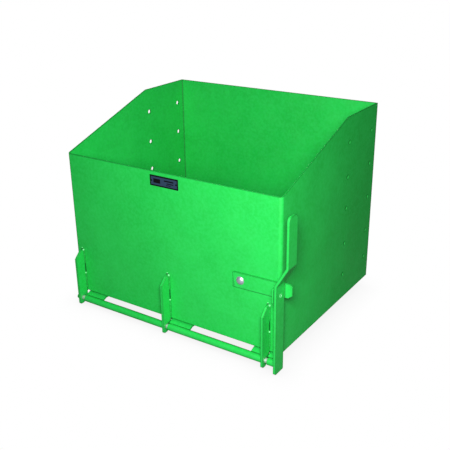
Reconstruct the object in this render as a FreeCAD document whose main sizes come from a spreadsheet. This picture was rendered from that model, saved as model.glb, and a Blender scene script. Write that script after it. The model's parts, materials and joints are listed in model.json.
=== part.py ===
import FreeCAD, Part
import math
import os
import Sketcher

# Drop-bottom feed hopper of welded sheet steel.
#
# Frame: millimetres, +X to the lever side, +Y to the rear, +Z up.  The origin lies on the
# ground, under the middle of the hopper's plan, in the resting face of the centre stiffener.

# ---------------------------------------------------------------------------------------
# Driving dimensions.  Places along X are measured from the hopper's left side, places
# along Y from its front face, and heights from the edge that the name gives.
# ---------------------------------------------------------------------------------------
DIMENSIONS = {
    # hopper shell
    "hopper_width": 610,
    "hopper_depth": 479,
    "rear_height": 477,
    "front_height": 374,
    "knee_back": 309,
    "wall_base": 28,
    "sheet": 3,
    "front_lift": 3,
    "bend_radius": 8.5,
    # holes in the sides: two columns of five, heights above the hopper's lower edge
    "side_hole": 11,
    "hole_front_back": 320,
    "hole_rear_back": 449.7,
    "hole_row_one": 413.8,
    "hole_row_two": 327.7,
    "hole_row_three_front": 247.2,
    "hole_row_three_rear": 237.6,
    "hole_row_four_front": 153.4,
    "hole_row_four_rear": 143.9,
    "hole_row_five": 68,
    # hinge lugs and pin
    "lug_thick": 6.4,
    "lug_reach": 29,
    "lug_height": 147,
    "lug_chamfer": 18,
    "lug_foot": 13,
    "lug_heel": 14,
    "lug_left": 19.2,
    "lug_centre": 298.2,
    "lug_right": 577.3,
    "hinge_forward": 16.5,
    "hinge_height": 15,
    "pin_dia": 12,
    "pin_overhang": 11.5,
    "pin_chamfer": 1,
    "running_gap": 0.05,
    # hinge tubes
    "tube_dia": 17,
    "tube_left": 35.5,
    "tube_left_end": 296.3,
    "tube_right": 310.5,
    "tube_right_end": 575.8,
    "tube_lever": 590.5,
    "pin_end_gap": 4,
    # floor door
    "door_thick": 4,
    "door_gap": 0.6,
    "door_side_inset": 4,
    "door_rear_inset": 3,
    "door_bend_back": 1.4,
    "flange_run": 14,
    "flange_fall": 6.2,
    "notch_gap": 1.3,
    "notch_back": 3.5,
    "notch_left_gap": 5.2,
    "notch_left_back": 11,
    "slot_wide": 24.5,
    "slot_back": 11,
    "slot_corner": 3,
    "slot_one": 89.7,
    "slot_one_end": 292.1,
    "slot_two": 368.5,
    "slot_two_end": 541.3,
    # stiffeners under the door
    "angle_foot": 25,
    "angle_thick": 3,
    "angle_front_back": 44,
    "angle_rear_inset": 30,
    "angle_spread": 190,
    # lever
    "lever_thick": 6.5,
    "lever_wide": 34,
    "lever_gap": 5.2,
    "lever_forward": 38.3,
    "lever_base": 1,
    "lever_height": 378.5,
    "joggle_start": 219,
    "joggle_end": 266.5,
    "joggle_shift": 27.6,
    "lever_bend": 5,
    "lever_toe": 3,
    "lever_tip": 11,
    # ear beside the lever
    "ear_wide": 25.4,
    "ear_high": 34,
    "ear_thick": 4,
    "ear_height": 179,
    "ear_top_cut": 6,
    "ear_low_cut_x": 10,
    "ear_low_cut_z": 8,
    # latch
    "latch_along": 508.9,
    "latch_height": 189,
    "latch_tilt": 1.5,
    "strap_high": 36.5,
    "strap_thick": 4,
    "strap_gap": 0.4,
    "strap_tail": 20,
    "strap_length": 124.3,
    "strap_corner": 3,
    "latch_lug_thick": 5,
    "latch_lug_along": 608.4,
    "latch_lug_reach": 32,
    "latch_lug_high": 35.5,
    "latch_lug_base": 174.5,
    "latch_lug_corner": 3,
    "lock_hole": 7,
    "lock_hole_forward": 20.7,
    "lock_hole_height": 191,
    # latch bolt, washer and nut
    "bolt_dia": 9.5,
    "bolt_head_dia": 20.6,
    "bolt_head_high": 5,
    "bolt_neck": 9.4,
    "bolt_neck_hole": 9.5,
    "bolt_panel_hole": 9.6,
    "washer_dia": 22,
    "washer_thick": 1.6,
    "washer_gap": 0.4,
    "nut_flats": 14.3,
    "nut_high": 8.3,
    "nut_bore": 9.5,
    "bolt_tail": 3,
    # nameplate
    "plate_along": 262.4,
    "plate_wide": 80.8,
    "plate_high": 25.8,
    "plate_base": 368,
    "plate_thick": 1,
    "plate_corner": 1.5,
    "rivet_dia": 4,
    "rivet_high": 1.2,
    "rivet_inset": 5,
}

SHEET_NAME = "Dims"
EDGE_TOLERANCE = 0.01
SMALLEST_CUT = 1
HEXAGON_SIDES = 6
X_AXIS = FreeCAD.Vector(1, 0, 0)
Y_AXIS = FreeCAD.Vector(0, 1, 0)
Z_AXIS = FreeCAD.Vector(0, 0, 1)

doc = FreeCAD.newDocument("feed_hopper")
sheet = doc.addObject("Spreadsheet::Sheet", SHEET_NAME)
sub_parts = []


# ---------------------------------------------------------------------------------------
# Helpers
# ---------------------------------------------------------------------------------------
def fill_sheet():
    """Write each driving dimension as a plain number with an alias beside its name."""
    for row, (name, number) in enumerate(DIMENSIONS.items(), start=1):
        sheet.set(f"A{row}", name)
        sheet.set(f"B{row}", str(number))
        sheet.setAlias(f"B{row}", name)
    doc.recompute()


def dims(text):
    """Turn a formula of plain dimension names into an expression on the sheet."""
    words = []
    for word in text.replace("(", " ( ").replace(")", " ) ").split():
        words.append(f"{SHEET_NAME}.{word}" if word in DIMENSIONS else word)
    return " ".join(words)


def value(text):
    """Evaluate such a formula to a number."""
    return float(sheet.evalExpression(dims(text)))


def add_body(name, along="0", back="0", up="0"):
    """Make one sub-part's body with its Placement bound to the sheet."""
    body = doc.addObject("PartDesign::Body", name)
    body.Label = name
    for letter, text in (("x", along), ("y", back), ("z", up)):
        body.setExpression(f"Placement.Base.{letter}", dims(text))
    sub_parts.append(body)
    return body


def add_sketch(body, role, name):
    """Attach a sketch to one of the body's own origin planes."""
    sketch = body.newObject("Sketcher::SketchObject", f"{body.Label}_{name}")
    for plane in body.Origin.OriginFeatures:
        if plane.Role == role:
            sketch.AttachmentSupport = (plane, [""])
    sketch.MapMode = "FlatFace"
    return sketch


def pin_point(sketch, geometry, vertex, across, up):
    """Fix a point of a sketch by two formulas."""
    for kind, text in (("DistanceX", across), ("DistanceY", up)):
        rule = Sketcher.Constraint(kind, -1, 1, geometry, vertex, value(text))
        index = sketch.addConstraint(rule)
        sketch.setExpression(f"Constraints[{index}]", dims(text))


def add_outline(sketch, corners):
    """Closed outline of straight lines through corners given as pairs of formulas."""
    first = sketch.GeometryCount
    points = [FreeCAD.Vector(value(across), value(up), 0) for across, up in corners]
    count = len(points)
    for index in range(count):
        following = points[(index + 1) % count]
        sketch.addGeometry(Part.LineSegment(points[index], following))
    for index in range(count):
        following = first + (index + 1) % count
        sketch.addConstraint(Sketcher.Constraint("Coincident", first + index, 2, following, 1))
    for index, (across, up) in enumerate(corners):
        pin_point(sketch, first + index, 1, across, up)


def add_circle(sketch, across, up, radius):
    """Circle whose centre and radius are formulas."""
    centre = FreeCAD.Vector(value(across), value(up), 0)
    circle = sketch.addGeometry(Part.Circle(centre, Z_AXIS, value(radius)))
    pin_point(sketch, circle, 3, across, up)
    index = sketch.addConstraint(Sketcher.Constraint("Radius", circle, value(radius)))
    sketch.setExpression(f"Constraints[{index}]", dims(radius))


def rectangle(left, low, right, high):
    """The four corners of an upright rectangle, as formulas."""
    return [(left, low), (right, low), (right, high), (left, high)]


def pad(body, sketch, length, symmetric=False, reverse=False):
    """Extrude a sketch by a formula."""
    feature = body.newObject("PartDesign::Pad", f"{sketch.Name}_pad")
    feature.Profile = sketch
    feature.setExpression("Length", dims(length))
    feature.SideType = "Symmetric" if symmetric else "One side"
    feature.Reversed = reverse
    doc.recompute()
    return feature


def cut_through(body, sketch):
    """Cut a sketch through the whole body, both ways, and make sure that it cuts."""
    before = body.Shape.Volume
    feature = body.newObject("PartDesign::Pocket", f"{sketch.Name}_cut")
    feature.Profile = sketch
    feature.SideType = "Symmetric"
    feature.Type = "ThroughAll"
    doc.recompute()
    if body.Shape.Volume > before - SMALLEST_CUT:
        raise RuntimeError(f"{feature.Name} removes nothing")
    return feature


def round_edges(body, wanted, radius, chamfer=False):
    """Fillet or chamfer every edge of the body's tip for which wanted(edge) is true."""
    tip = body.Tip
    names = []
    for index, edge in enumerate(tip.Shape.Edges, start=1):
        if wanted(edge):
            names.append(f"Edge{index}")
    kind = "Chamfer" if chamfer else "Fillet"
    feature = body.newObject(f"PartDesign::{kind}", f"{tip.Name}_{kind.lower()}")
    feature.Base = (tip, names)
    feature.setExpression("Size" if chamfer else "Radius", dims(radius))
    doc.recompute()
    return feature


def is_along(edge, axis):
    """True for a straight edge parallel to an axis."""
    if edge.Curve.TypeId != "Part::GeomLine":
        return False
    return edge.Curve.Direction.cross(axis).Length < EDGE_TOLERANCE


def edge_at(axis, **places):
    """Test for straight edges along an axis at given coordinates of their middle."""
    def wanted(edge):
        if not is_along(edge, axis):
            return False
        middle = edge.CenterOfMass
        return all(abs(getattr(middle, letter) - place) < EDGE_TOLERANCE
                   for letter, place in places.items())
    return wanted


def any_of(*tests):
    """Join several edge tests into one."""
    return lambda edge: any(test(edge) for test in tests)


# ---------------------------------------------------------------------------------------
# Hopper shell
# ---------------------------------------------------------------------------------------
def make_wrap_panel():
    """Front and both sides: one sheet with two bends, low and lifted off the floor in front."""
    body = add_body("wrap_panel", up="wall_base")
    plan = add_sketch(body, "XY_Plane", "plan")
    add_outline(plan, [
        ("- hopper_width / 2", "hopper_depth / 2 - sheet"),
        ("- hopper_width / 2", "- hopper_depth / 2"),
        ("hopper_width / 2", "- hopper_depth / 2"),
        ("hopper_width / 2", "hopper_depth / 2 - sheet"),
        ("hopper_width / 2 - sheet", "hopper_depth / 2 - sheet"),
        ("hopper_width / 2 - sheet", "sheet - hopper_depth / 2"),
        ("sheet - hopper_width / 2", "sheet - hopper_depth / 2"),
        ("sheet - hopper_width / 2", "hopper_depth / 2 - sheet"),
    ])
    pad(body, plan, "rear_height")

    outer_x = value("hopper_width / 2")
    outer_y = value("- hopper_depth / 2")
    inner_x = value("hopper_width / 2 - sheet")
    inner_y = value("sheet - hopper_depth / 2")
    outer = any_of(edge_at(Z_AXIS, x=outer_x, y=outer_y), edge_at(Z_AXIS, x=-outer_x, y=outer_y))
    round_edges(body, outer, "bend_radius")
    inner = any_of(edge_at(Z_AXIS, x=inner_x, y=inner_y), edge_at(Z_AXIS, x=-inner_x, y=inner_y))
    round_edges(body, inner, "bend_radius - sheet")

    slope = add_sketch(body, "YZ_Plane", "slope")
    add_outline(slope, [
        ("- hopper_depth", "front_height"),
        ("- hopper_depth / 2", "front_height"),
        ("knee_back - hopper_depth / 2", "rear_height"),
        ("knee_back - hopper_depth / 2", "rear_height * 2"),
        ("- hopper_depth", "rear_height * 2"),
    ])
    cut_through(body, slope)

    holes = add_sketch(body, "YZ_Plane", "holes")
    columns = {
        "hole_front_back": ("hole_row_one", "hole_row_two", "hole_row_three_front",
                            "hole_row_four_front", "hole_row_five"),
        "hole_rear_back": ("hole_row_one", "hole_row_two", "hole_row_three_rear",
                           "hole_row_four_rear", "hole_row_five"),
    }
    for column, rows in columns.items():
        for row in rows:
            add_circle(holes, f"{column} - hopper_depth / 2", row, "side_hole / 2")
    cut_through(body, holes)

    lower_edge = add_sketch(body, "XZ_Plane", "lower_edge")
    add_outline(lower_edge, rectangle("bend_radius - hopper_width / 2", "- sheet",
                                      "hopper_width / 2 - bend_radius", "front_lift"))
    cut_through(body, lower_edge)

    bolt_hole = add_sketch(body, "XZ_Plane", "bolt_hole")
    add_circle(bolt_hole, "latch_along - hopper_width / 2", "latch_height - wall_base",
               "bolt_panel_hole / 2")
    cut_through(body, bolt_hole)


def make_rear_panel():
    """Rear sheet, which laps over the rear edges of both sides."""
    body = add_body("rear_panel", back="hopper_depth / 2", up="wall_base")
    face = add_sketch(body, "XZ_Plane", "face")
    add_outline(face, rectangle("- hopper_width / 2", "0", "hopper_width / 2", "rear_height"))
    pad(body, face, "sheet")


# ---------------------------------------------------------------------------------------
# Hinge: lugs, pin and tubes
# ---------------------------------------------------------------------------------------
def make_hinge_lug(name, place):
    """Flat-bar lug that stands on edge against the front panel and holds the pin."""
    body = add_body(name, along=f"{place} - hopper_width / 2", back="- hopper_depth / 2")
    side = add_sketch(body, "YZ_Plane", "side")
    add_outline(side, [
        ("0", "lug_height"),
        ("lug_chamfer - lug_reach", "lug_height"),
        ("- lug_reach", "lug_height - lug_chamfer"),
        ("- lug_reach", "0"),
        ("lug_foot - lug_reach", "0"),
        ("0", "lug_heel"),
    ])
    add_circle(side, "- hinge_forward", "hinge_height", "pin_dia / 2 + running_gap")
    pad(body, side, "lug_thick")
    toe = edge_at(X_AXIS, y=value("- lug_reach"), z=0)
    heel = edge_at(X_AXIS, y=value("lug_foot - lug_reach"), z=0)
    round_edges(body, any_of(toe, heel), "lug_foot / 3")


def make_hinge_pin():
    """Plain round bar through the three lugs, its right end inside the lever's tube."""
    body = add_body("hinge_pin", along="lug_left - pin_overhang - hopper_width / 2",
                    back="- hopper_depth / 2 - hinge_forward", up="hinge_height")
    end = add_sketch(body, "YZ_Plane", "end")
    add_circle(end, "0", "0", "pin_dia / 2")
    pad(body, end, "hopper_width + lever_gap - pin_end_gap - lug_left + pin_overhang")
    round_edges(body, lambda edge: edge.Curve.TypeId == "Part::GeomCircle", "pin_chamfer", True)


def make_hinge_tube(name, start, end):
    """Tube that turns on the pin, between two places along the hopper's width."""
    body = add_body(name, along=f"{start} - hopper_width / 2",
                    back="- hopper_depth / 2 - hinge_forward", up="hinge_height")
    ring = add_sketch(body, "YZ_Plane", "ring")
    add_circle(ring, "0", "0", "tube_dia / 2")
    add_circle(ring, "0", "0", "pin_dia / 2 + running_gap")
    pad(body, ring, f"{end} - {start}")


# ---------------------------------------------------------------------------------------
# Floor door
# ---------------------------------------------------------------------------------------
def make_door_plate():
    """Floor sheet under the hopper with a front flange bent down to the hinge tubes."""
    body = add_body("door_plate", back="- hopper_depth / 2", up="wall_base - door_gap")
    slant = math.atan2(value("flange_fall"), value("flange_run"))
    corner_shift = math.tan(slant / 2)
    normal_y = math.sin(slant)
    normal_z = math.cos(slant)
    section = add_sketch(body, "YZ_Plane", "section")
    add_outline(section, [
        ("door_bend_back", "0"),
        ("door_bend_back - flange_run", "- flange_fall"),
        (f"door_bend_back - flange_run + door_thick * {normal_y}",
         f"- flange_fall - door_thick * {normal_z}"),
        (f"door_bend_back + door_thick * {corner_shift}", "- door_thick"),
        ("hopper_depth - door_rear_inset", "- door_thick"),
        ("hopper_depth - door_rear_inset", "0"),
    ])
    pad(body, section, "hopper_width - door_side_inset * 2", symmetric=True)

    tube = add_sketch(body, "YZ_Plane", "tube")
    add_circle(tube, "- hinge_forward", "hinge_height - wall_base + door_gap", "tube_dia / 2")
    cut_through(body, tube)

    openings = add_sketch(body, "XY_Plane", "openings")
    for place, gap, back in (("lug_left", "notch_left_gap", "notch_left_back"),
                             ("lug_centre", "notch_gap", "notch_back"),
                             ("lug_right", "notch_gap", "notch_back")):
        add_outline(openings, rectangle(f"{place} - notch_gap - hopper_width / 2",
                                        "- lug_reach",
                                        f"{place} + lug_thick + {gap} - hopper_width / 2",
                                        back))
    cut_through(body, openings)

    slots = add_sketch(body, "XY_Plane", "slots")
    for start, end in (("slot_one", "slot_one_end"), ("slot_two", "slot_two_end")):
        add_outline(slots, rectangle(f"{start} - hopper_width / 2", "slot_back - slot_wide",
                                     f"{end} - hopper_width / 2", "slot_back"))
    cut_through(body, slots)
    corners = []
    for place in ("slot_one", "slot_one_end", "slot_two", "slot_two_end"):
        for back in ("slot_back - slot_wide", "slot_back"):
            corners.append(edge_at(Z_AXIS, x=value(f"{place} - hopper_width / 2"), y=value(back)))
    round_edges(body, any_of(*corners), "slot_corner")


def make_stiffener(name, place):
    """Angle under the door, one leg upright and the other flat on the ground."""
    body = add_body(name, along=place, back="angle_front_back - hopper_depth / 2")
    section = add_sketch(body, "XZ_Plane", "section")
    add_outline(section, [
        ("- angle_foot / 2", "0"),
        ("angle_foot / 2", "0"),
        ("angle_foot / 2", "angle_thick"),
        ("angle_thick - angle_foot / 2", "angle_thick"),
        ("angle_thick - angle_foot / 2", "wall_base - door_gap - door_thick"),
        ("- angle_foot / 2", "wall_base - door_gap - door_thick"),
    ])
    pad(body, section, "hopper_depth - angle_front_back - angle_rear_inset", reverse=True)
    inner = edge_at(Y_AXIS, x=value("angle_thick - angle_foot / 2"), z=value("angle_thick"))
    round_edges(body, inner, "angle_thick")


# ---------------------------------------------------------------------------------------
# Lever
# ---------------------------------------------------------------------------------------
def make_lever_arm():
    """Flat bar that rises from the hinge tube and steps outward past the latch."""
    body = add_body("lever_arm", along="hopper_width / 2 + lever_gap",
                    back="- hopper_depth / 2 - lever_forward")
    tilt = math.atan2(value("joggle_shift"), value("joggle_end - joggle_start"))
    drop = math.tan(tilt / 2)
    top = "lever_base + lever_height"
    front = add_sketch(body, "XZ_Plane", "front")
    add_outline(front, [
        ("0", "lever_base"),
        ("0", "joggle_start"),
        ("joggle_shift", "joggle_end"),
        ("joggle_shift", top),
        ("joggle_shift + lever_thick", top),
        ("joggle_shift + lever_thick", f"joggle_end - lever_thick * {drop}"),
        ("lever_thick", f"joggle_start - lever_thick * {drop}"),
        ("lever_thick", "lever_base"),
    ])
    pad(body, front, "lever_wide", reverse=True)

    thick = value("lever_thick")
    shift = value("joggle_shift")
    low = value("joggle_start")
    high = value("joggle_end")
    inside = any_of(edge_at(Y_AXIS, x=thick, z=low - thick * drop),
                    edge_at(Y_AXIS, x=shift, z=high))
    round_edges(body, inside, "lever_bend")
    outside = any_of(edge_at(Y_AXIS, x=0, z=low),
                     edge_at(Y_AXIS, x=shift + thick, z=high - thick * drop))
    round_edges(body, outside, "lever_bend + lever_thick")

    tip = any_of(edge_at(X_AXIS, z=value(top), y=0),
                 edge_at(X_AXIS, z=value(top), y=value("lever_wide")))
    round_edges(body, tip, "lever_tip")
    toe = any_of(edge_at(X_AXIS, z=value("lever_base"), y=0),
                 edge_at(X_AXIS, z=value("lever_base"), y=value("lever_wide")))
    round_edges(body, toe, "lever_toe")

    hole = add_sketch(body, "YZ_Plane", "lock_hole")
    add_circle(hole, "lever_forward - lock_hole_forward", "lock_hole_height", "lock_hole / 2")
    cut_through(body, hole)


def make_lever_ear():
    """Small plate with clipped corners on the rear edge of the lever."""
    body = add_body("lever_ear", along="hopper_width / 2 + lever_gap",
                    back="- hopper_depth / 2 - lever_forward + lever_wide",
                    up="ear_height")
    face = add_sketch(body, "XZ_Plane", "face")
    add_outline(face, [
        ("0", "0"),
        ("ear_wide - ear_low_cut_x", "0"),
        ("ear_wide", "ear_low_cut_z"),
        ("ear_wide", "ear_high - ear_top_cut"),
        ("ear_wide - ear_top_cut", "ear_high"),
        ("0", "ear_high"),
    ])
    pad(body, face, "ear_thick", reverse=True)


# ---------------------------------------------------------------------------------------
# Latch
# ---------------------------------------------------------------------------------------
def make_latch_strap():
    """Flat bar that turns on the carriage bolt, tilted a little up to the right."""
    body = add_body("latch_strap", along="latch_along - hopper_width / 2",
                    back="- hopper_depth / 2 - strap_gap", up="latch_height")
    tilt = FreeCAD.Rotation(Y_AXIS, -DIMENSIONS["latch_tilt"])
    body.Placement = FreeCAD.Placement(body.Placement.Base, tilt)
    face = add_sketch(body, "XZ_Plane", "face")
    add_outline(face, rectangle("- strap_tail", "- strap_high / 2",
                                "strap_length - strap_tail", "strap_high / 2"))
    add_outline(face, rectangle("- bolt_neck_hole / 2", "- bolt_neck_hole / 2",
                                "bolt_neck_hole / 2", "bolt_neck_hole / 2"))
    pad(body, face, "strap_thick")
    half = value("strap_high / 2")
    round_edges(body, any_of(edge_at(Y_AXIS, z=half, x=value("- strap_tail")),
                             edge_at(Y_AXIS, z=-half, x=value("- strap_tail"))),
                "strap_corner")


def make_latch_lug():
    """Plate that stands forward from the strap beside the lever, with the lock-pin hole."""
    body = add_body("latch_lug", along="latch_lug_along - hopper_width / 2",
                    back="- hopper_depth / 2 - strap_gap - strap_thick", up="latch_lug_base")
    side = add_sketch(body, "YZ_Plane", "side")
    add_outline(side, rectangle("- latch_lug_reach", "0", "0", "latch_lug_high"))
    add_circle(side, "strap_gap + strap_thick - lock_hole_forward",
               "lock_hole_height - latch_lug_base", "lock_hole / 2")
    pad(body, side, "latch_lug_thick")
    front = value("- latch_lug_reach")
    round_edges(body, any_of(edge_at(X_AXIS, y=front, z=0),
                             edge_at(X_AXIS, y=front, z=value("latch_lug_high"))),
                "latch_lug_corner")


def make_latch_bolt():
    """Carriage bolt: domed head, square neck in the strap, round shank through the panel."""
    body = add_body("latch_bolt", along="latch_along - hopper_width / 2",
                    back="- hopper_depth / 2 - strap_gap - strap_thick", up="latch_height")
    tilt = FreeCAD.Rotation(Y_AXIS, -DIMENSIONS["latch_tilt"])
    body.Placement = FreeCAD.Placement(body.Placement.Base, tilt)
    stack = "strap_gap + strap_thick + sheet + washer_gap + washer_thick + nut_high + bolt_tail"
    shank = add_sketch(body, "XZ_Plane", "shank")
    add_circle(shank, "0", "0", "bolt_dia / 2")
    pad(body, shank, stack, reverse=True)
    neck = add_sketch(body, "XZ_Plane", "neck")
    add_outline(neck, rectangle("- bolt_neck / 2", "- bolt_neck / 2",
                                "bolt_neck / 2", "bolt_neck / 2"))
    pad(body, neck, "strap_thick", reverse=True)

    head = add_sketch(body, "YZ_Plane", "head")
    rim = value("bolt_head_dia / 2")
    high = value("bolt_head_high")
    sphere = (rim * rim + high * high) / (2 * high)
    centre = FreeCAD.Vector(sphere - high, 0, 0)
    start = math.atan2(rim, high - sphere)
    dome = Part.ArcOfCircle(Part.Circle(centre, Z_AXIS, sphere), start, math.pi)
    arc = head.addGeometry(dome)
    base = head.addGeometry(Part.LineSegment(FreeCAD.Vector(0, 0, 0), FreeCAD.Vector(0, rim, 0)))
    axis = head.addGeometry(Part.LineSegment(FreeCAD.Vector(0, 0, 0), FreeCAD.Vector(-high, 0, 0)))
    head.addConstraint(Sketcher.Constraint("Coincident", base, 1, -1, 1))
    head.addConstraint(Sketcher.Constraint("Coincident", axis, 1, -1, 1))
    head.addConstraint(Sketcher.Constraint("Coincident", arc, 1, base, 2))
    head.addConstraint(Sketcher.Constraint("Coincident", arc, 2, axis, 2))
    head.addConstraint(Sketcher.Constraint("PointOnObject", arc, 3, -1))
    pin_point(head, base, 2, "0", "bolt_head_dia / 2")
    pin_point(head, axis, 2, "- bolt_head_high", "0")
    dome_turn = body.newObject("PartDesign::Revolution", "latch_bolt_dome")
    dome_turn.Profile = head
    dome_turn.ReferenceAxis = (head, ["H_Axis"])
    dome_turn.Angle = 360
    doc.recompute()


def make_latch_washer():
    """Flat washer between the inside of the front panel and the nut."""
    body = add_body("latch_washer", along="latch_along - hopper_width / 2",
                    back="sheet + washer_gap - hopper_depth / 2", up="latch_height")
    ring = add_sketch(body, "XZ_Plane", "ring")
    add_circle(ring, "0", "0", "washer_dia / 2")
    add_circle(ring, "0", "0", "bolt_dia / 2")
    pad(body, ring, "washer_thick", reverse=True)


def make_latch_nut():
    """Hexagon nut on the tail of the carriage bolt."""
    body = add_body("latch_nut", along="latch_along - hopper_width / 2",
                    back="sheet + washer_gap + washer_thick - hopper_depth / 2",
                    up="latch_height")
    hexagon = add_sketch(body, "XZ_Plane", "hexagon")
    corners = []
    scale = 1 / math.cos(math.pi / HEXAGON_SIDES)
    for step in range(HEXAGON_SIDES):
        turn = 2 * math.pi * step / HEXAGON_SIDES
        across = f"nut_flats / 2 * {scale * math.cos(turn)}"
        up = f"nut_flats / 2 * {scale * math.sin(turn)}"
        corners.append((across, up))
    add_outline(hexagon, corners)
    add_circle(hexagon, "0", "0", "nut_bore / 2")
    pad(body, hexagon, "nut_high", reverse=True)


# ---------------------------------------------------------------------------------------
# Nameplate
# ---------------------------------------------------------------------------------------
def make_nameplate():
    """Small plain plate near the top of the front panel."""
    body = add_body("nameplate", along="plate_along - hopper_width / 2",
                    back="- hopper_depth / 2", up="plate_base")
    face = add_sketch(body, "XZ_Plane", "face")
    add_outline(face, rectangle("0", "0", "plate_wide", "plate_high"))
    pad(body, face, "plate_thick")
    round_edges(body, lambda edge: is_along(edge, Y_AXIS), "plate_corner")


def make_nameplate_rivets():
    """The two flat-headed rivets at the nameplate's ends, as one group."""
    rivets = []
    for name, along in (("rivet_near", "plate_along + rivet_inset"),
                        ("rivet_far", "plate_along + plate_wide - rivet_inset")):
        rivet = doc.addObject("Part::Cylinder", name)
        rivet.setExpression("Radius", dims("rivet_dia / 2"))
        rivet.setExpression("Height", dims("rivet_high"))
        rivet.Placement = FreeCAD.Placement(FreeCAD.Vector(), FreeCAD.Rotation(X_AXIS, 90))
        rivet.setExpression("Placement.Base.x", dims(f"{along} - hopper_width / 2"))
        rivet.setExpression("Placement.Base.y", dims("- hopper_depth / 2 - plate_thick"))
        rivet.setExpression("Placement.Base.z", dims("plate_base + plate_high / 2"))
        rivets.append(rivet)
    group = doc.addObject("Part::Compound", "nameplate_rivets")
    group.Label = "nameplate_rivets"
    group.Links = rivets
    sub_parts.append(group)


def build():
    fill_sheet()
    make_wrap_panel()
    make_rear_panel()
    for side in ("left", "centre", "right"):
        make_hinge_lug(f"hinge_lug_{side}", f"lug_{side}")
    make_hinge_pin()
    make_hinge_tube("hinge_tube_left", "tube_left", "tube_left_end")
    make_hinge_tube("hinge_tube_right", "tube_right", "tube_right_end")
    make_hinge_tube("hinge_tube_lever", "tube_lever", "( hopper_width + lever_gap )")
    make_door_plate()
    make_stiffener("stiffener_left", "- angle_spread")
    make_stiffener("stiffener_centre", "0")
    make_stiffener("stiffener_right", "angle_spread")
    make_lever_arm()
    make_lever_ear()
    make_latch_strap()
    make_latch_lug()
    make_latch_bolt()
    make_latch_washer()
    make_latch_nut()
    make_nameplate()
    make_nameplate_rivets()
    doc.recompute()


def check():
    """Stop if any object failed, or any sub-part's shape is missing or not valid."""
    for item in doc.Objects:
        if "Invalid" in item.State or "Error" in item.State:
            raise RuntimeError(f"{item.Label} failed: {item.State}")
    for part in sub_parts:
        if part.Shape.isNull() or not part.Shape.isValid():
            raise RuntimeError(f"{part.Label} has no valid shape")


def export():
    os.makedirs("parts", exist_ok=True)
    for part in sub_parts:
        part.Shape.exportStep(f"parts/{part.Label}.step")
        box = part.Shape.BoundBox
        print(f"{part.Label:20s} solids {len(part.Shape.Solids)} volume {part.Shape.Volume:12.1f}"
              f"  x {box.XMin:8.2f} {box.XMax:8.2f}  y {box.YMin:8.2f} {box.YMax:8.2f}"
              f"  z {box.ZMin:8.2f} {box.ZMax:8.2f}")


build()
check()
export()
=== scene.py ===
import bpy
import bmesh
import json
import math
import random
from mathutils import Matrix, Vector


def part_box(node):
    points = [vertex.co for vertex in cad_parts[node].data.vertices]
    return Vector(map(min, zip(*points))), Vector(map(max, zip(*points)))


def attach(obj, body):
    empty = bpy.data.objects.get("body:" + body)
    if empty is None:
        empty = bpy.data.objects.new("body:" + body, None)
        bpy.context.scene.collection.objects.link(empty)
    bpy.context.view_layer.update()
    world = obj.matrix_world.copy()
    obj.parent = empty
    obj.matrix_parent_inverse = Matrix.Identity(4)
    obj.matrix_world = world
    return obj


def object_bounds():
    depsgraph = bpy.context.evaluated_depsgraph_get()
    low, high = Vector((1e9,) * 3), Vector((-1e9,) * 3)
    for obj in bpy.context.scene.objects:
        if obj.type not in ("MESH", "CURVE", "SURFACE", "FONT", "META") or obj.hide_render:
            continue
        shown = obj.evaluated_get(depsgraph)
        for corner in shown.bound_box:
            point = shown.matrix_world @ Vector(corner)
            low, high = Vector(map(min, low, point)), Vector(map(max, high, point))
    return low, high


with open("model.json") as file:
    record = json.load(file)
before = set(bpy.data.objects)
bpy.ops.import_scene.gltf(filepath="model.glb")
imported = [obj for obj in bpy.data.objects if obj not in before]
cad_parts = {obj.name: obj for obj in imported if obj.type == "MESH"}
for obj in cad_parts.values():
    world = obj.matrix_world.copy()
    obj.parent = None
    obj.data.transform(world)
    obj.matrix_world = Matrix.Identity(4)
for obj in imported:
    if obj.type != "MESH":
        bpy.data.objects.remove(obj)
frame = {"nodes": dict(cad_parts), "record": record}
cad_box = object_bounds()
nodes = frame["nodes"]
scene = bpy.context.scene

MM = 0.001

# Sizes of the part that its boxes don't give
LEVER_THICK = 6.5 * MM
LOCK_HOLE_FORWARD = 20.7 * MM
LOCK_HOLE_RISE = 190 * MM
LOCK_BURR_RADIUS = 3.7 * MM
BOLT_CORE = 4.75 * MM
STIFFENER_UPRIGHT = 3 * MM

# Stitches on the hinge lugs: the upper one's length, then the lower one's start above the
# sides' lower edge and its top above the ground
UPPER_STITCH = 39 * MM
LOWER_STITCH_BASE = 10 * MM
LOWER_STITCH_TOP = 81 * MM


# ---------------------------------------------------------------------------------------
# Camera, lights and stage
# ---------------------------------------------------------------------------------------
HALF_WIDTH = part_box("rear_panel")[1].x
FRONT_FACE = -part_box("rear_panel")[1].y      # the shell's depth is centred on the origin
WALL_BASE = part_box("rear_panel")[0].z
HOPPER_WIDTH = 2 * HALF_WIDTH

# How bright the world looks to the camera, and how strongly it lights the part
WORLD_SEEN = 1.0
WORLD_LIT = 0.03

# The floor's half width, its drop below the part, how much light it returns, and how near
# the part shades it and how much; lengths in metres
FLOOR_REACH = 60
FLOOR_BELOW = 0.2 * MM
FLOOR_BOUNCE = 0.18
CONTACT_REACH = 0.07
CONTACT_SHADE = 0.86


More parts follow.
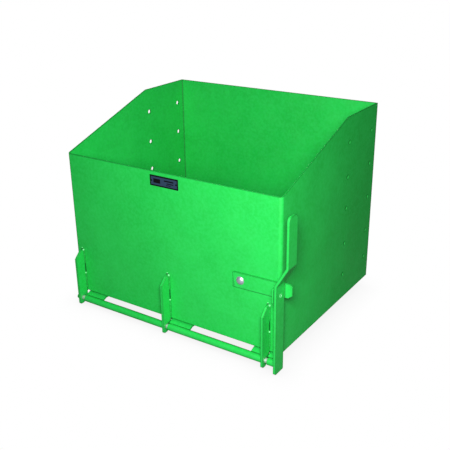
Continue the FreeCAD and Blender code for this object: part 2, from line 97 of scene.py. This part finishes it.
def add_camera():
    """Camera above and to the right of the front, in units of the hopper's width."""
    across, ahead, above = 2.0907, -1.9605, 1.4418
    yaw, pitch, roll = (math.radians(a) for a in (34.017, 22.418, 0.824))
    forward = Vector((-math.sin(yaw) * math.cos(pitch),
                      math.cos(yaw) * math.cos(pitch),
                      -math.sin(pitch)))
    level_right = Vector((math.cos(yaw), math.sin(yaw), 0))
    level_down = forward.cross(level_right)
    right = math.cos(roll) * level_right + math.sin(roll) * level_down
    down = math.cos(roll) * level_down - math.sin(roll) * level_right
    data = bpy.data.cameras.new("camera")
    data.sensor_width = 36
    data.lens = 57.14
    data.clip_start = 0.05
    data.clip_end = 200
    camera = bpy.data.objects.new("camera", data)
    scene.collection.objects.link(camera)
    turn = Matrix((right, -down, -forward)).transposed()
    place = Vector((across * HOPPER_WIDTH - HALF_WIDTH,
                    ahead * HOPPER_WIDTH + FRONT_FACE,
                    above * HOPPER_WIDTH + WALL_BASE))
    camera.matrix_world = Matrix.Translation(place) @ turn.to_4x4()
    scene.camera = camera


def add_area_light(name, place, target, size, power):
    """Round soft light aimed at a point."""
    data = bpy.data.lights.new(name, "AREA")
    data.shape = "DISK"
    data.size = size
    data.energy = power
    light = bpy.data.objects.new(name, data)
    scene.collection.objects.link(light)
    light.location = place
    aim = Vector(target) - Vector(place)
    light.rotation_mode = "QUATERNION"
    light.rotation_quaternion = aim.to_track_quat("-Z", "Y")
    light.visible_camera = False
    return light


def add_lights():
    """A key light at the front right, a fill behind for the far sides, and a pale world."""
    add_area_light("key", (0.77, -1.17, 0.91), (0, -0.05, 0.22), 0.46, 31)
    fill = add_area_light("back_fill", (-1.9, 2.1, 1.7), (0, 0, 0.25), 1.6, 65)
    fill.visible_glossy = False
    world = bpy.data.worlds.new("studio")
    world.use_nodes = True
    tree = world.node_tree
    tree.nodes.clear()
    out = tree.nodes.new("ShaderNodeOutputWorld")
    seen = tree.nodes.new("ShaderNodeBackground")
    seen.inputs["Color"].default_value = (1, 1, 1, 1)
    seen.inputs["Strength"].default_value = WORLD_SEEN
    lit = tree.nodes.new("ShaderNodeBackground")
    lit.inputs["Color"].default_value = (1, 1, 1, 1)
    lit.inputs["Strength"].default_value = WORLD_LIT
    path = tree.nodes.new("ShaderNodeLightPath")
    mix = tree.nodes.new("ShaderNodeMixShader")
    tree.links.new(path.outputs["Is Camera Ray"], mix.inputs["Fac"])
    tree.links.new(lit.outputs[0], mix.inputs[1])
    tree.links.new(seen.outputs[0], mix.inputs[2])
    tree.links.new(mix.outputs[0], out.inputs["Surface"])
    scene.world = world
    scene.view_settings.view_transform = "Standard"


def add_floor():
    """Plain pale floor with a faint contact shadow.

    Camera and shadow rays pass through it, because the open door hangs below the ground
    that the closed hopper stands on; all other rays meet a matt grey surface.
    """
    mesh = bpy.data.meshes.new("floor")
    corners = [(-FLOOR_REACH, -FLOOR_REACH, 0), (FLOOR_REACH, -FLOOR_REACH, 0),
               (FLOOR_REACH, FLOOR_REACH, 0), (-FLOOR_REACH, FLOOR_REACH, 0)]
    mesh.from_pydata(corners, [], [(0, 1, 2, 3)])
    floor = bpy.data.objects.new("floor", mesh)
    scene.collection.objects.link(floor)
    floor.location.z = cad_box[0].z - FLOOR_BELOW
    material = bpy.data.materials.new("pale_floor")
    material.use_nodes = True
    tree = material.node_tree
    tree.nodes.clear()
    out = tree.nodes.new("ShaderNodeOutputMaterial")
    matt = tree.nodes.new("ShaderNodeBsdfDiffuse")
    matt.inputs["Color"].default_value = (FLOOR_BOUNCE, FLOOR_BOUNCE, FLOOR_BOUNCE, 1)
    near = tree.nodes.new("ShaderNodeAmbientOcclusion")
    near.inputs["Distance"].default_value = CONTACT_REACH
    near.samples = 16
    shade = tree.nodes.new("ShaderNodeMapRange")
    shade.inputs["To Min"].default_value = CONTACT_SHADE
    shade.inputs["To Max"].default_value = 1.0
    clear = tree.nodes.new("ShaderNodeBsdfTransparent")
    path = tree.nodes.new("ShaderNodeLightPath")
    passes = tree.nodes.new("ShaderNodeMath")
    passes.operation = "MAXIMUM"
    mix = tree.nodes.new("ShaderNodeMixShader")
    tree.links.new(near.outputs["AO"], shade.inputs["Value"])
    tree.links.new(shade.outputs["Result"], clear.inputs["Color"])
    tree.links.new(path.outputs["Is Camera Ray"], passes.inputs[0])
    tree.links.new(path.outputs["Is Shadow Ray"], passes.inputs[1])
    tree.links.new(passes.outputs[0], mix.inputs["Fac"])
    tree.links.new(matt.outputs[0], mix.inputs[1])
    tree.links.new(clear.outputs[0], mix.inputs[2])
    tree.links.new(mix.outputs[0], out.inputs["Surface"])
    mesh.materials.append(material)


# ---------------------------------------------------------------------------------------
# Materials
# ---------------------------------------------------------------------------------------
class Shader:
    """Small helper for building one node material."""

    def __init__(self, name):
        self.material = bpy.data.materials.new(name)
        self.material.use_nodes = True
        self.tree = self.material.node_tree
        self.tree.nodes.clear()
        self.out = self.add("ShaderNodeOutputMaterial")
        self.skin = self.add("ShaderNodeBsdfPrincipled")
        self.link(self.skin.outputs[0], self.out.inputs["Surface"])
        self.place = self.add("ShaderNodeTexCoord").outputs["Object"]

    def add(self, kind, **inputs):
        node = self.tree.nodes.new(kind)
        for key, value in inputs.items():
            node.inputs[key.replace("_", " ")].default_value = value
        return node

    def link(self, source, target):
        self.tree.links.new(source, target)

    def noise(self, scale, detail=3.0, rough=0.5, stretch=None):
        """Noise in metres; stretch squeezes the pattern along the axes."""
        node = self.add("ShaderNodeTexNoise", Scale=scale, Detail=detail, Roughness=rough)
        if stretch:
            mapping = self.add("ShaderNodeMapping")
            mapping.inputs["Scale"].default_value = stretch
            self.link(self.place, mapping.inputs["Vector"])
            self.link(mapping.outputs[0], node.inputs["Vector"])
        else:
            self.link(self.place, node.inputs["Vector"])
        return node.outputs["Fac"]

    def ramp(self, source, low, high, from_low=0.0, from_high=1.0):
        """Linear map of a value, clamped."""
        node = self.add("ShaderNodeMapRange")
        node.inputs["From Min"].default_value = from_low
        node.inputs["From Max"].default_value = from_high
        node.inputs["To Min"].default_value = low
        node.inputs["To Max"].default_value = high
        self.link(source, node.inputs["Value"])
        return node.outputs["Result"]

    def maths(self, operation, first, second):
        node = self.add("ShaderNodeMath")
        node.operation = operation
        for index, source in enumerate((first, second)):
            if isinstance(source, (int, float)):
                node.inputs[index].default_value = source
            else:
                self.link(source, node.inputs[index])
        return node.outputs[0]

    def blend(self, factor, first, second):
        """Mix of two colours, each a socket or a constant."""
        node = self.tree.nodes.new("ShaderNodeMix")
        node.data_type = "RGBA"
        sockets = [s for s in node.inputs if s.type == "RGBA"]
        for socket, source in zip(sockets, (first, second)):
            if isinstance(source, tuple):
                socket.default_value = (*source, 1)
            else:
                self.link(source, socket)
        self.link(factor, node.inputs[0])
        return [s for s in node.outputs if s.type == "RGBA"][0]

    def bump(self, height, strength, distance, base=None):
        node = self.add("ShaderNodeBump", Strength=strength, Distance=distance)
        self.link(height, node.inputs["Height"])
        if base:
            self.link(base, node.inputs["Normal"])
        return node.outputs[0]

    def edge_mask(self, radius):
        """Near 1 on sharp outside edges, near 0 on flat faces."""
        rounded = self.add("ShaderNodeBevel", Radius=radius)
        rounded.samples = 4
        flat = self.add("ShaderNodeNewGeometry")
        dot = self.add("ShaderNodeVectorMath")
        dot.operation = "DOT_PRODUCT"
        self.link(rounded.outputs[0], dot.inputs[0])
        self.link(flat.outputs["Normal"], dot.inputs[1])
        return self.ramp(dot.outputs["Value"], 1.0, 0.0, 0.80, 0.99)

    def thin_rim_shade(self, reach):
        """Near 1 on the cut edges of sheet, near 0 on its faces and on thick bar."""
        inside = self.add("ShaderNodeAmbientOcclusion", Distance=reach)
        inside.inside = True
        inside.only_local = True
        inside.samples = 8
        return self.ramp(inside.outputs["AO"], 0.85, 0.0, 0.55, 0.92)

    def crevice_shade(self, reach):
        """Near 1 deep in tight joints and inside corners, near 0 on open faces."""
        near = self.add("ShaderNodeAmbientOcclusion", Distance=reach)
        near.samples = 8
        return self.ramp(near.outputs["AO"], 0.85, 0.0, 0.30, 0.68)


def green_powder_coat():
    """Glossy bright green powder coat: orange peel, slow tone changes; painted shade on edges, rims
    and joints.
    """
    shader = Shader("green_powder_coat")
    tone = shader.noise(3.5, 4.0, 0.55)
    speck = shader.noise(160.0, 3.0, 0.6)
    deep = (0.0098, 0.500, 0.058)
    light = (0.0150, 0.565, 0.074)
    colour = shader.blend(shader.ramp(tone, 0, 1, 0.35, 0.65), deep, light)
    fleck = shader.ramp(speck, 0.0, 0.22, 0.60, 0.80)
    colour = shader.blend(fleck, colour, (0.03, 0.62, 0.11))
    cloud = shader.ramp(shader.noise(17.0, 4.0, 0.65), 0.0, 0.30, 0.42, 0.66)
    colour = shader.blend(cloud, colour, (0.0060, 0.400, 0.040))
    # Painted shade: bevelled edges darkened in patches towards dark green
    edge_shade = shader.maths("MULTIPLY", shader.edge_mask(1.6 * MM),
                        shader.ramp(shader.noise(90.0, 4.0, 0.7), 0.55, 1.0, 0.35, 0.62))
    colour = shader.blend(shader.maths("MULTIPLY", edge_shade, 0.72), colour, (0.003, 0.14, 0.018))
    grain = shader.ramp(shader.noise(130.0, 2.0, 0.6), 0.0, 0.26, 0.38, 0.62)
    colour = shader.blend(grain, colour, (0.030, 0.66, 0.13))
    # Painted shade: the cut rims of the sheet darkened towards dark green
    colour = shader.blend(shader.thin_rim_shade(2.3 * MM), colour, (0.004, 0.17, 0.022))
    # Painted shade: tight joints and inside corners darkened towards dark green
    colour = shader.blend(shader.crevice_shade(9 * MM), colour, (0.002, 0.10, 0.012))
    shader.link(colour, shader.skin.inputs["Base Color"])
    rough = shader.ramp(shader.noise(22.0, 5.0, 0.6), 0.42, 0.56, 0.3, 0.7)
    shader.link(rough, shader.skin.inputs["Roughness"])
    shader.skin.inputs["IOR"].default_value = 1.5
    peel = shader.bump(shader.noise(420.0, 2.0, 0.5), 0.16, 0.35 * MM)
    waves = shader.bump(shader.noise(9.0, 2.0, 0.4), 0.10, 4 * MM, peel)
    shader.link(waves, shader.skin.inputs["Normal"])
    return shader.material


def bare_steel():
    """Cold-drawn bar with lengthwise scratches and faint brown specks."""
    shader = Shader("bare_steel")
    streak = shader.noise(700.0, 4.0, 0.6, (0.02, 1, 1))
    stain = shader.ramp(shader.noise(120.0, 4.0, 0.7), 0, 0.6, 0.56, 0.75)
    colour = shader.blend(streak, (0.62, 0.64, 0.65), (0.84, 0.86, 0.87))
    colour = shader.blend(stain, colour, (0.20, 0.14, 0.10))
    shader.link(colour, shader.skin.inputs["Base Color"])
    shader.skin.inputs["Metallic"].default_value = 0.72
    shader.link(shader.ramp(streak, 0.32, 0.55), shader.skin.inputs["Roughness"])
    shader.link(shader.bump(streak, 0.25, 0.1 * MM), shader.skin.inputs["Normal"])
    return shader.material


def zinc_plate():
    """Bright zinc plate with a faint spangle."""
    shader = Shader("zinc_plate")
    cloud = shader.noise(260.0, 3.0, 0.6)
    colour = shader.blend(cloud, (0.50, 0.50, 0.66), (0.78, 0.78, 0.88))
    shader.link(colour, shader.skin.inputs["Base Color"])
    shader.skin.inputs["Metallic"].default_value = 0.75
    shader.link(shader.ramp(cloud, 0.30, 0.44), shader.skin.inputs["Roughness"])
    shader.link(shader.bump(shader.noise(900.0, 2.0, 0.5), 0.12, 0.1 * MM),
                shader.skin.inputs["Normal"])
    return shader.material


def dark_paint(name, colour, lighter, roughness):
    """Satin dark paint with a little dust."""
    shader = Shader(name)
    dust = shader.ramp(shader.noise(240.0, 4.0, 0.7), 0, 0.5, 0.52, 0.78)
    shader.link(shader.blend(dust, colour, lighter), shader.skin.inputs["Base Color"])
    shader.link(shader.ramp(shader.noise(60.0), roughness - 0.05, roughness + 0.08),
                shader.skin.inputs["Roughness"])
    shader.link(shader.bump(shader.noise(800.0, 2.0, 0.5), 0.1, 0.1 * MM),
                shader.skin.inputs["Normal"])
    shader.skin.inputs["Specular IOR Level"].default_value = 0.2
    return shader.material


def spatter_highlight_coat():
    """Thick glossy runs of the green coat over weld spatter, painted lighter than the coat as a
    highlight.
    """
    shader = Shader("spatter_highlight_coat")
    tone = shader.noise(300.0, 3.0, 0.6)
    colour = shader.blend(tone, (0.10, 0.72, 0.20), (0.22, 0.86, 0.34))
    shader.link(colour, shader.skin.inputs["Base Color"])
    shader.skin.inputs["Roughness"].default_value = 0.22
    shader.skin.inputs["IOR"].default_value = 1.6
    shader.link(shader.bump(shader.noise(500.0, 2.0, 0.5), 0.2, 0.4 * MM),
                shader.skin.inputs["Normal"])
    return shader.material


MATERIALS = {
    "green_powder_coat": green_powder_coat(),
    "bare_steel": bare_steel(),
    "zinc_plate": zinc_plate(),
    "dark_nameplate": dark_paint("dark_nameplate", (0.022, 0.042, 0.078),
                                 (0.035, 0.06, 0.10), 0.50),
    "dark_rivets": dark_paint("dark_rivets", (0.0015, 0.0015, 0.003),
                              (0.006, 0.006, 0.010), 0.55),
}
# Lighter glossy green for spatter and burrs: painted highlight
SPATTER_HIGHLIGHT = spatter_highlight_coat()
# Dark green for balls put in open joints and undercuts: painted shade
PAINTED_JOINT_SHADE = dark_paint("painted_joint_shade", (0.002, 0.030, 0.006), (0.004, 0.08, 0.014), 0.6)


# ---------------------------------------------------------------------------------------
# CAD nodes: finish and rolled edges
# ---------------------------------------------------------------------------------------
MERGE_WITHIN = 0.001 * MM
FLAT_ANGLE = math.radians(0.5)
SHARP_ANGLE = math.radians(32)
BEVEL_SEGMENTS = 3

# Millimetres of rounding on each node's sharp edges
EDGE_ROUNDING = {
    "wrap_panel": 0.3, "rear_panel": 0.3, "door_plate": 0.4,
    "hinge_lug_left": 0.6, "hinge_lug_centre": 0.6, "hinge_lug_right": 0.6,
    "hinge_tube_left": 0.5, "hinge_tube_right": 0.5, "hinge_tube_lever": 0.5,
    "stiffener_left": 0.5, "stiffener_centre": 0.5, "stiffener_right": 0.5,
    "lever_arm": 0.7, "lever_ear": 0.5, "latch_strap": 0.5, "latch_lug": 0.5,
    "latch_washer": 0.2, "nameplate": 0.25, "nameplate_rivets": 0.4,
    "hinge_pin": 0.1, "latch_nut": 0.3,
}


def round_edges(piece, width):
    """Soft edges by modifiers: merge split points, join flat faces, then bevel."""
    mesh = piece.data
    mesh.polygons.foreach_set("use_smooth", [True] * len(mesh.polygons))
    if mesh.has_custom_normals:
        with bpy.context.temp_override(object=piece, active_object=piece, mesh=mesh):
            bpy.ops.mesh.customdata_custom_splitnormals_clear()
    merge = piece.modifiers.new("merge", "WELD")
    merge.merge_threshold = MERGE_WITHIN
    flat = piece.modifiers.new("flat_faces", "DECIMATE")
    flat.decimate_type = "DISSOLVE"
    flat.angle_limit = FLAT_ANGLE
    bevel = piece.modifiers.new("bevel", "BEVEL")
    bevel.width = width * MM
    bevel.segments = BEVEL_SEGMENTS
    bevel.limit_method = "ANGLE"
    bevel.angle_limit = SHARP_ANGLE
    bevel.use_clamp_overlap = True
    bevel.harden_normals = True


def set_material(piece, slot_name):
    piece.data.materials.clear()
    piece.data.materials.append(MATERIALS[slot_name])


def finish_nodes():
    """Every CAD node's finish, and rounded edges where it has a width."""
    slots = {row["node"]: row["material_slot"] for row in frame["record"]["subparts"]}
    for name, piece in nodes.items():
        set_material(piece, slots[name])
        if name in EDGE_ROUNDING:
            round_edges(piece, EDGE_ROUNDING[name])


# ---------------------------------------------------------------------------------------
# Pieces made here: welds, spatter, paint, nameplate and thread
# ---------------------------------------------------------------------------------------
def new_piece(name, mesh, slot_name, body):
    piece = bpy.data.objects.new(name, mesh)
    scene.collection.objects.link(piece)
    mesh.polygons.foreach_set("use_smooth", [True] * len(mesh.polygons))
    set_material(piece, slot_name)
    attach(piece, body)
    return piece


def repaint(piece, material):
    """Another look for a piece that keeps its slot."""
    piece.data.materials.clear()
    piece.data.materials.append(material)


def mesh_from(shape, name, turn_outward=True):
    """A mesh made from a bmesh, which is then freed."""
    if turn_outward:
        bmesh.ops.recalc_face_normals(shape, faces=shape.faces)
    mesh = bpy.data.meshes.new(name)
    shape.to_mesh(mesh)
    shape.free()
    return mesh


def resample(points, step):
    """Evenly spaced points along a polyline."""
    points = [Vector(p) for p in points]
    out = [points[0].copy()]
    left = step
    for start, end in zip(points, points[1:]):
        length = (end - start).length
        travelled = 0.0
        while travelled + left <= length:
            travelled += left
            out.append(start.lerp(end, travelled / length))
            left = step
        left -= length - travelled
    if (out[-1] - points[-1]).length > step * 0.3:
        out.append(points[-1].copy())
    return out


def bead_into(mesh, points, radius, rng, sides=10, closed=False):
    """Add one rippled weld bead along points to a bmesh."""
    step = radius * 0.28
    line = resample(points, step)
    if closed:
        line = line[:-1]
    count = len(line)
    pitch = radius * rng.uniform(0.75, 0.95)
    phase = rng.uniform(0, math.pi)
    rings = []
    for index, centre in enumerate(line):
        after = line[(index + 1) % count] if closed else line[min(index + 1, count - 1)]
        before = line[(index - 1) % count] if closed else line[max(index - 1, 0)]
        along = (after - before).normalized()
        side = along.orthogonal().normalized() if abs(along.x) < 0.9 else \
            along.cross(Vector((0, 0, 1))).normalized()
        up = along.cross(side).normalized()
        ripple = abs(math.sin(math.pi * index * step / pitch + phase))
        lump = 0.12 * math.sin(0.37 * index + 5 * phase) * math.sin(0.11 * index + phase)
        size = radius * (0.80 + 0.24 * ripple + lump + rng.uniform(-0.04, 0.04))
        if not closed:
            from_end = min(index, count - 1 - index) * step / radius
            size *= math.sqrt(max(0.04, 1 - max(0.0, 1 - from_end) ** 2))
        wander = Vector((rng.uniform(-1, 1), rng.uniform(-1, 1), rng.uniform(-1, 1))) * radius * 0.03
        ring = []
        for corner in range(sides):
            turn = 2 * math.pi * corner / sides
            offset = (math.cos(turn) * side + math.sin(turn) * up) * size
            ring.append(mesh.verts.new(centre + wander + offset))
        rings.append(ring)
    pairs = list(zip(rings, rings[1:]))
    if closed:
        pairs.append((rings[-1], rings[0]))
    for low, high in pairs:
        for corner in range(sides):
            following = (corner + 1) % sides
            mesh.faces.new((low[corner], low[following], high[following], high[corner]))
    if not closed:
        mesh.faces.new(list(reversed(rings[0])))
        mesh.faces.new(rings[-1])


def drop_into(mesh, centre, radii, rng, detail):
    """Add one ball, stretched by three radii and a little uneven, to a bmesh."""
    ball = bmesh.ops.create_icosphere(mesh, subdivisions=detail, radius=1.0)
    for vertex in ball["verts"]:
        uneven = 1 + (rng.uniform(-0.06, 0.06) if rng else 0)
        offset = [part * size * uneven for part, size in zip(vertex.co, radii)]
        vertex.co = Vector(centre) + Vector(offset)


def weld(name, body, runs, radius, seed):
    """One piece holding several painted weld beads; each run is a list of points."""
    rng = random.Random(seed)
    shape = bmesh.new()
    for run in runs:
        closed = (Vector(run[0]) - Vector(run[-1])).length < 1e-6
        bead_into(shape, run, radius, rng, closed=closed)
    new_piece(name, mesh_from(shape, name), "green_powder_coat", body)


def balls(name, body, places, material, seed=None):
    """One piece of stretched balls: spatter with a painted highlight, or painted shade in the
    undercuts and open joints.
    """
    rng = random.Random(seed) if seed else None
    shape = bmesh.new()
    for centre, radii in places:
        drop_into(shape, centre, radii, rng, 2 if rng else 3)
    mesh = mesh_from(shape, name, turn_outward=False)
    repaint(new_piece(name, mesh, "green_powder_coat", body), material)


def lug_welds():
    """Stitches down both sides of each hinge lug and round its top end."""
    for index, side in enumerate(("left", "centre", "right")):
        low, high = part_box(f"hinge_lug_{side}")
        face = high.y - 0.6 * MM
        runs = []
        drops = []
        for x in (low.x - 0.6 * MM, high.x + 0.6 * MM):
            top = high.z + 0.3 * MM
            runs.append([(x, face, top - UPPER_STITCH), (x, face, top)])
            runs.append([(x, face, WALL_BASE + LOWER_STITCH_BASE), (x, face, LOWER_STITCH_TOP)])
            drops.append(((x, face - 0.7 * MM, LOWER_STITCH_TOP), (2.4 * MM,) * 3))
        runs.append([(low.x - 1.0 * MM, face, high.z + 0.6 * MM),
                     (high.x + 1.0 * MM, face, high.z + 0.6 * MM)])
        drops.append(((high.x + 0.4 * MM, face - 1.2 * MM, high.z + 0.4 * MM), (2.9 * MM,) * 3))
        drops.append(((low.x + 2.0 * MM, face - 0.4 * MM, high.z + 5.4 * MM), (1.6 * MM,) * 3))
        weld(f"weld_lug_{side}", "hopper", runs, 1.9 * MM, 11 + index)
        # Spatter drops in the lighter green: painted highlight
        balls(f"weld_drops_highlight_{side}", "hopper", drops, SPATTER_HIGHLIGHT, 71 + index)
        # Dark flattened balls at the lug top and in the unwelded gap between stitches: painted shade
        gap_shades = [((low.x + 1.8 * MM, face, high.z + 2.6 * MM), (2.6 * MM, 0.75 * MM, 1.5 * MM)),
                ((high.x + 1.0 * MM, face, (high.z - UPPER_STITCH + LOWER_STITCH_TOP) / 2),
                 (0.7 * MM, 0.75 * MM, (high.z - UPPER_STITCH - LOWER_STITCH_TOP) / 2))]
        balls(f"weld_gap_shade_{side}", "hopper", gap_shades, PAINTED_JOINT_SHADE)


def seam_welds():
    """Small inside fillets where the rear panel meets the sides."""
    low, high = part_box("rear_panel")
    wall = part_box("wrap_panel")
    runs = []
    inside = HALF_WIDTH - 3.4 * MM
    for x in (-inside, inside):
        runs.append([(x, wall[1].y - 0.4 * MM, low.z + 3 * MM),
                     (x, wall[1].y - 0.4 * MM, high.z - 3 * MM)])
    weld("weld_rear_seams", "hopper", runs, 1.5 * MM, 21)


def tube_joints():
    """Dark ball of painted shade in the open joint between each hinge tube and the flange above it.
    """
    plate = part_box("door_plate")
    places = []
    for side in ("left", "right"):
        low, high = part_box(f"hinge_tube_{side}")
        middle = (low.x + high.x) / 2
        reach = (low.z + high.z) / 2
        radius = (high.z - low.z) / 2
        back = plate[0].y - (low.y + high.y) / 2
        top = reach + math.sqrt(radius * radius - back * back)
        places.append(((middle, plate[0].y - 0.3 * MM, top + 0.25 * MM),
                       ((high.x - low.x) / 2, 0.85 * MM, 0.85 * MM)))
    balls("flange_joint_shade", "floor_door", places, PAINTED_JOINT_SHADE)


def ring_points(centre, radius, count=40):
    """Closed ring about an axis along X."""
    points = []
    for step in range(count + 1):
        turn = 2 * math.pi * (step % count) / count
        points.append((centre[0], centre[1] + radius * math.cos(turn),
                       centre[2] + radius * math.sin(turn)))
    return points


def lever_welds():
    """Ring round the lever's tube, and a bead down the corner between lever and ear."""
    low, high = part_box("hinge_tube_lever")
    centre = (high.x - 0.4 * MM, (low.y + high.y) / 2, (low.z + high.z) / 2)
    radius = (high.z - low.z) / 2
    weld("weld_lever_tube", "floor_door", [ring_points(centre, radius + 0.5 * MM)], 2.2 * MM, 31)
    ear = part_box("lever_ear")
    outer = ear[0].x + LEVER_THICK
    weld("weld_ear", "floor_door",
         [[(outer + 0.5 * MM, ear[0].y - 0.2 * MM, ear[0].z + 2 * MM),
           (outer + 0.5 * MM, ear[0].y - 0.2 * MM, ear[1].z - 1 * MM)]], 1.5 * MM, 32)


def latch_welds():
    """Fillet beside the latch lug where it stands on the strap."""
    low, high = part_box("latch_lug")
    face = high.y - 0.3 * MM
    side = low.x - 0.4 * MM
    runs = [[(side, face, low.z + 3 * MM), (side, face, high.z - 3 * MM)]]
    weld("weld_latch_lug", "latch", runs, 1.5 * MM, 41)


def door_welds():
    """Stitches that hold the stiffeners to the door, underneath."""
    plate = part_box("door_plate")
    under = plate[1].z - 4 * MM
    half = 20 * MM
    runs = []
    for side in ("left", "centre", "right"):
        low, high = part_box(f"stiffener_{side}")
        for share in (0.06, 0.35, 0.64, 0.94):
            middle = low.y + (high.y - low.y) * share
            for x in (low.x - 0.4 * MM, low.x + STIFFENER_UPRIGHT + 0.4 * MM):
                runs.append([(x, middle - half, under - 0.4 * MM),
                             (x, middle + half, under - 0.4 * MM)])
    weld("weld_stiffeners", "floor_door", runs, 1.9 * MM, 51)


def lathe(name, body, slot_name, centre, profile, sides=28):
    """Turned piece about an axis along X; the profile pairs a distance with a radius."""
    shape = bmesh.new()
    rings = []
    for along, radius in profile:
        ring = []
        for corner in range(sides):
            turn = 2 * math.pi * corner / sides
            ring.append(shape.verts.new((centre[0] + along,
                                         centre[1] + radius * math.cos(turn),
                                         centre[2] + radius * math.sin(turn))))
        rings.append(ring)
    for low, high in zip(rings, rings[1:]):
        for corner in range(sides):
            following = (corner + 1) % sides
            shape.faces.new((low[corner], low[following], high[following], high[corner]))
    shape.faces.new(list(reversed(rings[0])))
    shape.faces.new(rings[-1])
    new_piece(name, mesh_from(shape, name), slot_name, body)


def pin_weld():
    """Weld that fixes the pin's left end in its lug, and the paint that covers the end."""
    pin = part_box("hinge_pin")
    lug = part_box("hinge_lug_left")
    radius = (pin[1].z - pin[0].z) / 2
    centre = (lug[0].x - 0.3 * MM, (pin[0].y + pin[1].y) / 2, (pin[0].z + pin[1].z) / 2)
    weld("weld_pin_end", "hopper", [ring_points(centre, radius + 0.3 * MM)], 1.8 * MM, 61)
    length = lug[0].x - pin[0].x
    profile = [(0.5 * MM, radius + 0.30 * MM), (-length + 1.2 * MM, radius + 0.25 * MM),
               (-length + 0.3 * MM, radius - 0.2 * MM), (-length - 0.3 * MM, radius - 1.2 * MM),
               (-length - 0.4 * MM, 0.6 * MM)]
    lathe("paint_pin_end", "hopper", "green_powder_coat",
          (lug[0].x, centre[1], centre[2]), profile)


def nameplate_face():
    """Raised black border and a few plain raised bars that stand in for the printing."""
    low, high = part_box("nameplate")
    front = low.y
    wide = high.x - low.x
    tall = high.z - low.z
    rim = 3.4 * MM
    bars = [((0.5, 0.0), (wide, rim)), ((0.5, 1.0), (wide, rim)),
            ((0.0, 0.5), (rim, tall)), ((1.0, 0.5), (rim, tall))]
    for index, ((across, up), (bar_wide, bar_tall)) in enumerate(bars):
        x = low.x + across * wide + rim * (0.5 - across)
        z = low.z + up * tall + rim * (0.5 - up)
        raised_bar(f"nameplate_border_{index}", (x, front, z), (bar_wide, bar_tall), 0.35 * MM)
    blocks = [((0.25, 0.5), (0.26, 0.44)), ((0.68, 0.64), (0.34, 0.14)),
              ((0.72, 0.42), (0.24, 0.10)), ((0.66, 0.26), (0.16, 0.08))]
    for index, ((across, up), (bar_wide, bar_tall)) in enumerate(blocks):
        raised_bar(f"nameplate_block_{index}",
                   (low.x + across * wide, front, low.z + up * tall),
                   (bar_wide * wide, bar_tall * tall), 0.15 * MM)


def raised_bar(name, centre, size, proud):
    """Shallow bar with sloped sides on the nameplate's face."""
    shape = bmesh.new()
    slope = min(size) * 0.12
    back = [(-1, -1), (1, -1), (1, 1), (-1, 1)]
    rows = []
    for depth, inset in ((0.1 * MM, 0.0), (-proud, slope)):
        rows.append([shape.verts.new((centre[0] + across * (size[0] / 2 - inset),
                                      centre[1] + depth,
                                      centre[2] + up * (size[1] / 2 - inset)))
                     for across, up in back])
    for corner in range(4):
        following = (corner + 1) % 4
        shape.faces.new((rows[0][corner], rows[0][following],
                         rows[1][following], rows[1][corner]))
    shape.faces.new(rows[1])
    shape.faces.new(list(reversed(rows[0])))
    mesh = mesh_from(shape, name)
    piece = new_piece(name, mesh, "dark_rivets", "hopper")
    piece.data.polygons.foreach_set("use_smooth", [False] * len(mesh.polygons))


def lock_hole_rim():
    """Burr of paint round the lock hole in the outer face of the lever, in the lighter green of a
    painted highlight.
    """
    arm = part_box("lever_arm")
    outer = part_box("hinge_tube_lever")[1].x + LEVER_THICK
    centre = (outer, FRONT_FACE - LOCK_HOLE_FORWARD, arm[0].z + LOCK_HOLE_RISE)
    rng = random.Random(91)
    shape = bmesh.new()
    bead_into(shape, ring_points(centre, LOCK_BURR_RADIUS), 0.8 * MM, rng, 8, closed=True)
    mesh = mesh_from(shape, "lock_hole_rim")
    repaint(new_piece("lock_hole_rim", mesh, "green_powder_coat", "floor_door"), SPATTER_HIGHLIGHT)


def bolt_thread():
    """Rolled thread on the bolt's tail beyond the nut."""
    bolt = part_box("latch_bolt")
    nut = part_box("latch_nut")
    middle = (nut[0].x + nut[1].x) / 2
    height = (nut[0].z + nut[1].z) / 2
    pitch = 1.1 * MM
    crest = 0.35 * MM
    half = 0.4 * MM
    turns = int((bolt[1].y - nut[1].y) / pitch)
    points = []
    steps = 24
    for step in range(turns * steps + 1):
        turn = 2 * math.pi * step / steps
        points.append((middle + BOLT_CORE * math.cos(turn),
                       nut[1].y + pitch * (step / steps + 0.3),
                       height + BOLT_CORE * math.sin(turn)))
    shape = bmesh.new()
    rings = []
    for index, point in enumerate(points):
        turn = 2 * math.pi * index / steps
        out = Vector((math.cos(turn), 0, math.sin(turn)))
        centre = Vector(point)
        rings.append([shape.verts.new(centre + Vector((0, -half, 0))),
                      shape.verts.new(centre + out * crest),
                      shape.verts.new(centre + Vector((0, half, 0)))])
    for low, high in zip(rings, rings[1:]):
        for corner in range(2):
            shape.faces.new((low[corner], low[corner + 1], high[corner + 1], high[corner]))
    new_piece("bolt_thread", mesh_from(shape, "bolt_thread"), "zinc_plate", "latch")


# ---------------------------------------------------------------------------------------
# The scene
# ---------------------------------------------------------------------------------------
add_camera()
add_lights()
add_floor()
finish_nodes()
lug_welds()
tube_joints()
seam_welds()
lever_welds()
latch_welds()
door_welds()
pin_weld()
nameplate_face()
lock_hole_rim()
bolt_thread()
